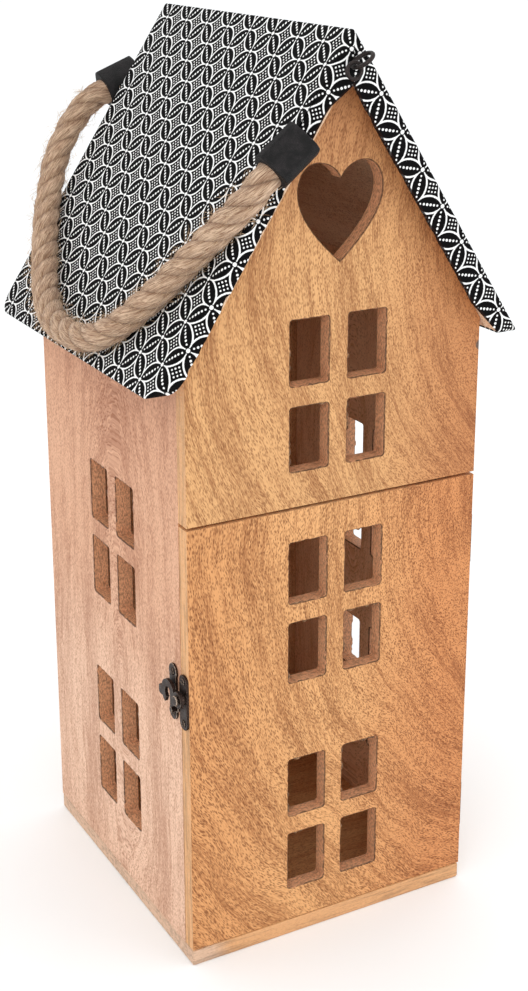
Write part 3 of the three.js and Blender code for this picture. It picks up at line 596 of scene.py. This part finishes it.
def finish_mesh(bm, name, material, body, nodes=(), broad=1.0):
    """The finished piece. Faces of more than broad square metres keep one flat shade."""
    mesh = bpy.data.meshes.new(name)
    bm.to_mesh(mesh)
    bm.free()
    mesh.materials.append(material)
    for face in mesh.polygons:
        face.use_smooth = face.area < broad
    piece = bpy.data.objects.new(name, mesh)
    bpy.context.scene.collection.objects.link(piece)
    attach(piece, body)
    if nodes:
        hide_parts(*nodes)
    return piece


# Rope handle: its route is the one that the solid follows

def on_slope(down, lift, y):
    """A point on the left slope: so far down from the ridge, and so far above the cloth."""
    x = -down * math.cos(PITCH) - lift * math.sin(PITCH)
    return Vector((x, y, RIDGE - down * math.sin(PITCH) + lift * math.cos(PITCH)))


# Each row, in millimetres: the way in from the roof's end, the way down the slope, and the extra lift
FRONT_ROUTE = [
    (-7.2, 77, 1.6), (-3.2, 84, 1.2), (1.8, 91, 0.6), (6.9, 98, 0.2), (13.7, 108.7, 0), (20.6, 119.5, 0),
    (27.6, 130.6, 0), (35.6, 141.1, 0), (44.6, 151.4, 0), (56, 159.6, 0), (68, 164, 0), (82.5, 165.4, 0),
]
BACK_ROUTE = [
    (-8.6, 60, 0), (-8.3, 68, 2.2), (-8, 78, 3), (-7, 88, 2.9), (-4.6, 98, 2), (0, 107.5, 0.6),
    (9, 119.5, 0), (21.4, 131, 0), (34.6, 141.8, 0), (48.2, 151.9, 0), (61.6, 159.4, 0), (76.5, 164.3, 0),
]


def cuff_pose(down, lift, tilt):
    """A cuff's centre, and the way its mouth looks."""
    lean = PITCH - math.radians(tilt)
    return on_slope(down, lift, 0), Vector((-math.cos(lean), 0, -math.sin(lean)))


FRONT_CUFF = cuff_pose(0.0603, 0.004252, 17.6)
BACK_CUFF = cuff_pose(0.0446, -0.004093, 35.2)


def rope_route():
    def cuff_place(along, end):
        centre, way = FRONT_CUFF if end < 0 else BACK_CUFF
        place = centre + way * along
        return Vector((place.x, end * CUFF_Y, place.z))

    def lying(row, end):
        inset, down, extra = [value / 1000 for value in row]
        return on_slope(down, ROPE_HEIGHT + extra, end * (ROOF_HALF - inset))

    stations = [-0.003, 0.002, 0.0085, 0.012]
    front = [cuff_place(along, -1) for along in stations] + [lying(row, -1) for row in FRONT_ROUTE]
    back = [cuff_place(along, 1) for along in stations] + [lying(row, 1) for row in BACK_ROUTE]
    return front + back[::-1]


def smooth_line(points, step):
    """A centripetal curve through the points, cut into equal steps."""
    dense = []
    ends = [points[0] * 2 - points[1]] + points + [points[-1] * 2 - points[-2]]
    for a, b, c, d in zip(ends, ends[1:], ends[2:], ends[3:]):
        t1, t2, t3 = [max((q - p).length, 1e-9) ** 0.5 for p, q in ((a, b), (b, c), (c, d))]
        out = ((b - a) / t1 - (c - a) / (t1 + t2) + (c - b) / t2) * t2
        into = ((c - b) / t2 - (d - b) / (t2 + t3) + (d - c) / t3) * t2
        for i in range(CURVE_CUTS):
            t = i / CURVE_CUTS
            dense.append(b * (2 * t ** 3 - 3 * t * t + 1) + out * (t ** 3 - 2 * t * t + t)
                         + c * (3 * t * t - 2 * t ** 3) + into * (t ** 3 - t * t))
    dense.append(points[-1])
    length = sum((q - p).length for p, q in zip(dense, dense[1:]))
    count = round(length / step)
    line, walked, goal = [dense[0]], 0.0, length / count
    for p, q in zip(dense, dense[1:]):
        gap = (q - p).length
        while goal <= walked + gap + 1e-9 and len(line) < count:
            line.append(p.lerp(q, (goal - walked) / gap))
            goal = length / count * len(line)
        walked += gap
    line.append(dense[-1])
    return line, length


def carried_frames(line):
    """A pair of side directions at each point that turns with the line and doesn't twist."""
    ways = [(q - p).normalized() for p, q in zip(line, line[1:])]
    ways = [ways[0]] + [(p + q).normalized() for p, q in zip(ways, ways[1:])] + [ways[-1]]
    side = ways[0].cross(Vector((0, 1, 0.3))).normalized()
    frames = []
    for i, way in enumerate(ways):
        if i:
            side = ways[i - 1].rotation_difference(way) @ side
        side = (side - way * side.dot(way)).normalized()
        frames.append((way, side, way.cross(side)))
    return frames


def strand_line(line, frames, step, which):
    centres = []
    for i, (place, (way, side, other)) in enumerate(zip(line, frames)):
        turn = 2 * math.pi * (i * step / ROPE_LAY + which / STRANDS)
        centres.append(place + (side * math.cos(turn) + other * math.sin(turn)) * STRAND_CENTRE)
    return centres


def make_strand(line, frames, step, which):
    """One strand: a ring pushed along its helix, ring by ring."""
    bm = bmesh.new()
    along = bm.verts.layers.float.new("along")
    around = bm.verts.layers.float.new("around")
    centres = strand_line(line, frames, step, which)
    ring = bmesh.ops.create_circle(bm, cap_ends=False, segments=STRAND_SIDES, radius=STRAND)["verts"]
    for vert in ring:
        vert[around] = (math.atan2(vert.co.y, vert.co.x) / (2 * math.pi)) % 1.0
    edges = list(bm.edges)
    last = Matrix.Identity(4)
    walked = 0.0
    for i, centre in enumerate(centres):
        ahead = centres[min(i + 1, len(centres) - 1)] - centres[max(i - 1, 0)]
        way = ahead.normalized()
        outward = centre - line[i]
        outward = (outward - way * outward.dot(way)).normalized()
        swell = 1 + STRAND_SWELL * noise.noise(centre * 160 + Vector((which * 7, 0, 0)))
        place = Matrix((outward * swell, way.cross(outward) * swell, way)).transposed().to_4x4()
        place.translation = centre
        if i:
            walked += (centre - centres[i - 1]).length
            made = bmesh.ops.extrude_edge_only(bm, edges=edges)["geom"]
            ring = [part for part in made if isinstance(part, bmesh.types.BMVert)]
            edges = [part for part in made if isinstance(part, bmesh.types.BMEdge)]
        bmesh.ops.transform(bm, matrix=place @ last.inverted(), verts=ring)
        for vert in ring:
            vert[along] = walked
        last = place
    bmesh.ops.holes_fill(bm, edges=[edge for edge in bm.edges if edge.is_boundary], sides=0)
    bmesh.ops.recalc_face_normals(bm, faces=bm.faces)
    layer = bm.loops.layers.uv.new("strand")
    for face in bm.faces:
        turns = [loop.vert[around] for loop in face.loops]
        split = max(turns) - min(turns) > 0.5
        for loop, turn in zip(face.loops, turns):
            loop[layer].uv = (loop.vert[along] + which, turn + 1 if split and turn < 0.5 else turn)
    return bm


def joined(parts):
    """Several small meshes brought into one."""
    whole = bmesh.new()
    for part in parts:
        mesh = bpy.data.meshes.new("part")
        part.to_mesh(mesh)
        part.free()
        whole.from_mesh(mesh)
        bpy.data.meshes.remove(mesh)
    return whole


def make_fibre(pick):
    """One thin loose fibre: a three-sided hair that bends and runs to a point."""
    bm = bmesh.new()
    bmesh.ops.create_circle(bm, cap_ends=True, segments=3, radius=FIBRE)
    edges = list(bm.edges)
    length = pick.uniform(*FIBRE_LENGTH)
    for _ in range(3):
        made = bmesh.ops.extrude_edge_only(bm, edges=edges)["geom"]
        ring = [part for part in made if isinstance(part, bmesh.types.BMVert)]
        edges = [part for part in made if isinstance(part, bmesh.types.BMEdge)]
        aside = [pick.uniform(-FIBRE_BEND, FIBRE_BEND) * length for _ in range(2)]
        bmesh.ops.translate(bm, verts=ring, vec=(*aside, length))
    middle = sum((vert.co for vert in ring), Vector()) / 3
    bmesh.ops.pointmerge(bm, verts=ring, merge_co=middle)
    return bm


def make_fuzz(line, frames):
    pick = random.Random(7)
    parts = []
    for _ in range(FIBRES):
        i = pick.randrange(BARE_END, len(line) - BARE_END)
        way, side, other = frames[i]
        turn = pick.uniform(0, 2 * math.pi)
        out = side * math.cos(turn) + other * math.sin(turn)
        raised = out * pick.uniform(0.15, 0.8)
        along = way * pick.choice((-1, 1))
        aside = way.cross(out) * pick.uniform(-0.8, 0.8)
        lean = (raised + along + aside).normalized()
        turned = Vector((0, 0, 1)).rotation_difference(lean).to_matrix().to_4x4()
        turned.translation = line[i] + out * ROPE_WIDTH / 2
        fibre = make_fibre(pick)
        fibre.transform(turned)
        parts.append(fibre)
    whole = joined(parts)
    bmesh.ops.recalc_face_normals(whole, faces=whole.faces)
    return whole


rope_line, rope_length = smooth_line(rope_route(), ROPE_STEP)
rope_frames = carried_frames(rope_line)
rope_step = rope_length / (len(rope_line) - 1)
strands = [make_strand(rope_line, rope_frames, rope_step, which) for which in range(STRANDS)]
rope = finish_mesh(joined(strands), "twisted_rope", JUTE, "handle", ["handle_rope"])
fuzz = finish_mesh(make_fuzz(rope_line, rope_frames), "rope_fuzz", FUZZ, "handle")


# Boards and hardware: merged copies of the solids with eased edges

def merged_copy(name):
    bm = bmesh.new()
    bm.from_mesh(frame["nodes"][name].data)
    bmesh.ops.remove_doubles(bm, verts=bm.verts, dist=MERGE)
    return bm


def node_copy(name):
    """A merged copy of a solid, with one face on each flat side."""
    bm = merged_copy(name)
    bmesh.ops.dissolve_limit(bm, angle_limit=math.radians(0.5), verts=bm.verts, edges=bm.edges)
    return bm


def is_reveal(face, thin, low, high):
    """True for the cut faces inside the windows and the heart of a board that is thin along one axis."""
    wide = 1 - thin
    middle = face.calc_center_median()
    level = low.z + CUT_OUT_LOW < middle.z < high.z - CUT_OUT_HIGH
    return abs(face.normal[thin]) < 0.3 and abs(middle[wide]) < CUT_OUT_REACH and level


def board_copy(name, thin, low, high):
    """A merged copy of a board with cut-outs, whose broad faces are split through the middle of each."""
    bm = merged_copy(name)
    bm.normal_update()
    sills = {round(face.calc_center_median().z, 5) for face in bm.faces
             if face.normal.z > 0.99 and is_reveal(face, thin, low, high)}
    levels = [sill + WINDOW_HEIGHT / 2 for sill in sorted(sills)]
    if name == "front_gable_panel":
        levels.append(HEART_LEVEL)
    sideways = Vector((thin, 1 - thin, 0))
    upwards = Vector((0, 0, 1))
    planes = [(sideways, place) for place in WINDOW_COLUMNS] + [(upwards, place) for place in levels]

    def on_plane(edge):
        return any(all(abs(vert.co.dot(way) - place) < 1e-6 for vert in edge.verts) for way, place in planes)

    for way, place in planes:
        parts = [*bm.verts, *bm.edges, *bm.faces]
        bmesh.ops.bisect_plane(bm, geom=parts, dist=1e-7, plane_co=way * place, plane_no=way)
    level = [edge for edge in bm.edges if edge.is_manifold and edge.calc_face_angle(0) < math.radians(0.5)
             and not on_plane(edge)]
    bmesh.ops.dissolve_edges(bm, edges=level, use_verts=True)
    bm.normal_update()
    return bm


def roughen(edge, cuts, thin, pick):
    """Splits a sawn rim into short lengths that wander a little to either side."""
    start, far = edge.verts
    places = [start.co.lerp(far.co, (i + 1) / (cuts + 1)) for i in range(cuts)]
    for place in places:
        other, vert = bmesh.utils.edge_split(edge, start, 0.5)
        edge = edge if far in edge.verts else other
        vert.co = place
        for axis in range(3):
            vert.co[axis] += pick.uniform(-RIM_WANDER, RIM_WANDER) if axis != thin else 0.0
        start = vert


def ease_edges(bm, edges, width, segments=2, clamp=True):
    return bmesh.ops.bevel(
        bm, geom=edges, offset=width, offset_type="OFFSET", affect="EDGES", segments=segments, profile=0.5,
        material=-1, clamp_overlap=clamp, loop_slide=False,
    )["faces"]


def mark_edge_grain(bm, thin):
    """Marks the narrow edges of a board that is thin along one axis."""
    layer = bm.loops.layers.float.new("edge_grain")
    for face in bm.faces:
        for loop in face.loops:
            loop[layer] = 1.0 if abs(face.normal[thin]) < 0.3 else 0.0


def sharp_edges(bm, degrees=38):
    return [edge for edge in bm.edges if edge.is_manifold and edge.calc_face_angle(0) > math.radians(degrees)]


def add_weighted_normals(piece):
    modifier = piece.modifiers.new("even_light", "WEIGHTED_NORMAL")
    modifier.weight = 80
    modifier.keep_sharp = True


def mark_faces(faces, layer, colour):
    for face in faces:
        for loop in face.loops:
            loop[layer] = colour


def make_board(name, body, thin, outward):
    """A board with crisp outer edges, and the rough rims that the saw left round its cut-outs. It is thin
    along one axis, and its outer face looks up or down that axis."""
    low, high = [Vector(corner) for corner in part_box(name)]
    bm = board_copy(name, thin, low, high)
    pick = random.Random(name)
    face_place = (high if outward > 0 else low)[thin]
    for edge in list(bm.edges):
        on_face = all(abs(vert.co[thin] - face_place) < 1e-5 for vert in edge.verts)
        cut_out = any(is_reveal(face, thin, low, high) for face in edge.link_faces)
        if on_face and cut_out and edge.calc_length() > 0.005:
            roughen(edge, round(edge.calc_length() / RIM_STEP), thin, pick)
    bm.normal_update()
    edges = sharp_edges(bm)
    rim_edges = {edge for edge in edges if any(is_reveal(face, thin, low, high) for face in edge.link_faces)}
    marks = bm.loops.layers.float_color.new("saw")
    for face in bm.faces:
        cut = 1.0 if is_reveal(face, thin, low, high) else 0.0
        inner = 1.0 if face.normal[thin] * outward < -0.7 else 0.0
        mark_faces([face], marks, (0.0, cut, inner, 1.0))
    mark_edge_grain(bm, thin)
    rims = ease_edges(bm, sorted(rim_edges, key=lambda edge: edge.index), RIM_EDGE, clamp=False)
    mark_faces(rims, marks, (1.0, 0.0, 0.0, 1.0))
    for edge in sharp_edges(bm, 60):
        edge.smooth = False
    piece = finish_mesh(bm, name + "_board", WOODS[name], body, [name], broad=SMALL_FACE)
    add_weighted_normals(piece)


make_board("front_gable_panel", "body", 1, -1)
make_board("door_panel", "door", 1, -1)
make_board("left_wall", "body", 0, -1)
make_board("right_wall", "body", 0, 1)


def eave_corners(bm):
    """The edges where the underside of an eave meets the front and the back."""
    return [edge for edge in bm.edges if edge.is_manifold
            and min(face.normal.z for face in edge.link_faces) < -0.99
            and max(abs(face.normal.y) for face in edge.link_faces) > 0.99]


def make_plain_board(name, width, thin=None, corner=0.0):
    bm = node_copy(name)
    if thin is not None:
        mark_edge_grain(bm, thin)
    if corner:
        ease_edges(bm, eave_corners(bm), corner, CORNER_STEPS, clamp=False)
    ease_edges(bm, sharp_edges(bm, 30), width)
    piece = finish_mesh(bm, name + "_board", WOODS[name], "body", [name], broad=SMALL_FACE)
    add_weighted_normals(piece)


make_plain_board("base_board", BASE_EDGE, thin=2)
make_plain_board("back_panel", BACK_EDGE, thin=1)
make_plain_board("roof_board_left", ROOF_EDGE, corner=EAVE_CORNER)
make_plain_board("roof_board_right", ROOF_EDGE)


def press_flat(bm, pose, end):
    """Presses the upper outer side of a cuff flat, as a folded strip of leather lies over the rope."""
    centre, way = pose
    raised = Vector((way.z, 0, -way.x))
    outward = Vector((0, end, 0))
    level = outward * math.cos(CUFF_TURN) + raised * math.sin(CUFF_TURN)
    across = raised * math.cos(CUFF_TURN) - outward * math.sin(CUFF_TURN)
    for vert in bm.verts:
        off = vert.co - centre - outward * CUFF_Y
        out, side = off.dot(level), off.dot(across)
        reach = math.hypot(out, side)
        if out > 1e-5 and CUFF_OUTSIDE[0] < reach < CUFF_OUTSIDE[1]:
            powers = abs(side / reach) ** CUFF_SQUARE + (out / reach) ** CUFF_SQUARE
            square = powers ** (-1 / CUFF_SQUARE) - 1
            vert.co += (across * side + level * out) * square


def make_hardware(name, body, material, width, pressed=None):
    """A metal or leather piece whose eased edges are marked for wear and a painted highlight."""
    bm = node_copy(name)
    if pressed:
        press_flat(bm, *pressed)
    marks = bm.loops.layers.float_color.new("saw")
    mark_faces(bm.faces, marks, (0.0, 0.0, 0.0, 1.0))
    worn_and_highlight = ease_edges(bm, sharp_edges(bm, 50), width)
    mark_faces(worn_and_highlight, marks, (1.0, 0.0, 0.0, 1.0))
    piece = finish_mesh(bm, name + "_piece", material, body, [name])
    add_weighted_normals(piece)
    return piece


bodies = frame["record"]["behaviour"]["bodies"]
holder = {name: body for body, names in bodies.items() for name in names}
for name in sorted(frame["nodes"]):
    if name.startswith("hinge"):
        make_hardware(name, holder[name], BRONZE, HINGE_EDGE)
    elif name.startswith("latch"):
        edge = LATCH_SCREW_EDGE if "screw" in name else LATCH_EDGE
        make_hardware(name, holder[name], BRONZE, edge)
    elif name.startswith("hanger"):
        make_hardware(name, holder[name], IRON, HANGER_EDGE)
    elif name.startswith("cuff_nail"):
        make_hardware(name, holder[name], IRON, NAIL_EDGE)

cuff_front = make_hardware(
    "handle_cuff_front", "handle", LEATHER, CUFF_EDGE, pressed=(FRONT_CUFF, -1))
cuff_back = make_hardware(
    "handle_cuff_back", "handle", LEATHER, CUFF_EDGE, pressed=(BACK_CUFF, 1))


# Cloth cover: one sheet over both slopes, round the eaves and down over the front and back edges

def wave_hem(bm):
    """The hand-cut lower edge of the cloth on the two ends, which wanders a little."""
    hem = [edge for edge in bm.edges if edge.is_boundary and edge.calc_length() > 0.02
           and abs(edge.verts[0].co.y - edge.verts[1].co.y) < 1e-6]
    made = bmesh.ops.subdivide_edges(bm, edges=hem, cuts=HEM_CUTS)["geom_inner"]
    for part in made:
        if isinstance(part, bmesh.types.BMVert):
            along = part.co.z / math.sin(PITCH)
            wave = HEM_WAVE * math.sin(along * 2 * math.pi / HEM_WAVELENGTH)
            wave += HEM_WANDER * noise.noise(part.co * 120)
            wave *= RIGHT_WAVE if part.co.x > 0 else 1.0
            part.co.x += math.copysign(wave * math.sin(PITCH), part.co.x)
            part.co.z += wave * math.cos(PITCH)


def make_cover():
    bm = bmesh.new()
    left, right = LEFT_EAVE, RIGHT_EAVE
    spare = RIGHT_HEM / math.sin(PITCH)
    flap_level = APEX - FLAP * math.tan(PITCH)
    outline = [
        (0, RIDGE), (-left[1], left[0]), (-left[2], left[0]), (-FLAP, flap_level + LEFT_LIFT),
        (0, APEX - PEAK_DROP), (FLAP - spare, flap_level),
        (right[2] - HEM_RISE / math.tan(PITCH) - spare, right[0] + HEM_RISE),
        (right[2], right[0]), (right[1], right[0]),
    ]
    corners = [bm.verts.new((x, -ROOF_HALF, z)) for x, z in outline]
    bm.faces.new([corners[i] for i in (0, 1, 2, 3, 4)])
    bm.faces.new([corners[i] for i in (0, 4, 5, 6, 7, 8)])
    made = bmesh.ops.extrude_face_region(bm, geom=list(bm.faces), use_keep_orig=True)["geom"]
    moved = [part for part in made if isinstance(part, bmesh.types.BMVert)]
    bmesh.ops.translate(bm, verts=moved, vec=(0, 2 * ROOF_HALF, 0))
    bmesh.ops.recalc_face_normals(bm, faces=bm.faces)
    bm.normal_update()
    under = [face for face in bm.faces if -0.9 < face.normal.z < -0.3]
    bmesh.ops.delete(bm, geom=under, context="FACES_ONLY")
    bm.normal_update()
    left_corners = [edge for edge in eave_corners(bm) if edge.verts[0].co.x < 0]
    ease_edges(bm, left_corners, EAVE_CORNER, CORNER_STEPS)
    ease_edges(bm, sharp_edges(bm, 50), CLOTH_FOLD, 4)
    wave_hem(bm)
    bm.normal_update()
    # Marks the right side of each hem's edge for the painted shadow line.
    edge_mark = bm.verts.layers.float.new("hem")
    for vert in bm.verts:
        marked = vert.is_boundary and vert.co.x > -0.02 and vert.co.z > right[0] + HEM_RISE / 2
        vert[edge_mark] = 1.0 if marked else 0.0
    ends = [face for face in bm.faces if abs(face.normal.y) > 0.99 and face.calc_area() > 1e-4]
    bmesh.ops.inset_region(bm, faces=ends, thickness=HEM_SHADOW_LINE, use_boundary=True, use_even_offset=True)
    for face in ends:
        for vert in face.verts:
            vert[edge_mark] = 0.0
    bm.normal_update()
    map_cloth(bm)
    return bm


def map_cloth(bm):
    """Lays the print out flat: from end to end, and down each slope from the ridge and round its edges."""
    layer = bm.loops.layers.uv.new("cloth")
    for face in bm.faces:
        end_face = abs(face.normal.y) > 0.05
        on_left = face.calc_center_median().x < 0
        for loop in face.loops:
            place = loop.vert.co
            side = abs(place.x) if (place.x < 0) == on_left else -abs(place.x)
            drop = RIDGE - place.z
            down = side * math.cos(PITCH) + drop * math.sin(PITCH)
            deep = max(0.0, drop * math.cos(PITCH) - side * math.sin(PITCH))
            if end_face:
                u, v = place.y + math.copysign(deep, place.y), down
            else:
                u, v = place.y, down + EAVE_STRETCH * deep
            loop[layer].uv = (u, v if on_left else -v - RIDGE_SHIFT)


cover = finish_mesh(make_cover(), "roof_cloth", COTTON, "body", ["roof_cover"])
thick = cover.modifiers.new("cloth_thickness", "SOLIDIFY")
thick.thickness = CLOTH
thick.offset = -1
add_weighted_normals(cover)


# Plain pale floor and soft studio light
bm = bmesh.new()
bmesh.ops.create_grid(bm, x_segments=2, y_segments=2, size=20)
mesh = bpy.data.meshes.new("floor")
bm.to_mesh(mesh)
bm.free()
floor = bpy.data.objects.new("floor", mesh)
bpy.context.scene.collection.objects.link(floor)
pale, _, pale_shader = new_material("pale_floor")
pale_shader.inputs["Base Color"].default_value = (0.95, 0.975, 0.985, 1)
pale_shader.inputs["Roughness"].default_value = 0.9
pale_shader.inputs["Specular IOR Level"].default_value = 0.1
mesh.materials.append(pale)

world = bpy.data.worlds.new("studio")
bpy.context.scene.world = world
world.use_nodes = True
world.node_tree.nodes["Background"].inputs[0].default_value = (1.0, 1.0, 1.0, 1.0)
world.node_tree.nodes["Background"].inputs[1].default_value = 1.1


def add_softbox(name, place, aim, size, power):
    light = bpy.data.lights.new(name, "AREA")
    light.size = size
    light.energy = power
    lamp = bpy.data.objects.new(name, light)
    bpy.context.scene.collection.objects.link(lamp)
    way = Vector(aim) - Vector(place)
    lamp.matrix_world = Matrix.Translation(place) @ way.to_track_quat("-Z", "Y").to_matrix().to_4x4()


add_softbox("key_softbox", (-1.5, -1.9, 1.7), (0, 0, 0.2), 1.6, 16)
add_softbox("fill_softbox", (1.6, -1.6, 1.2), (0, 0, 0.2), 1.6, 5)
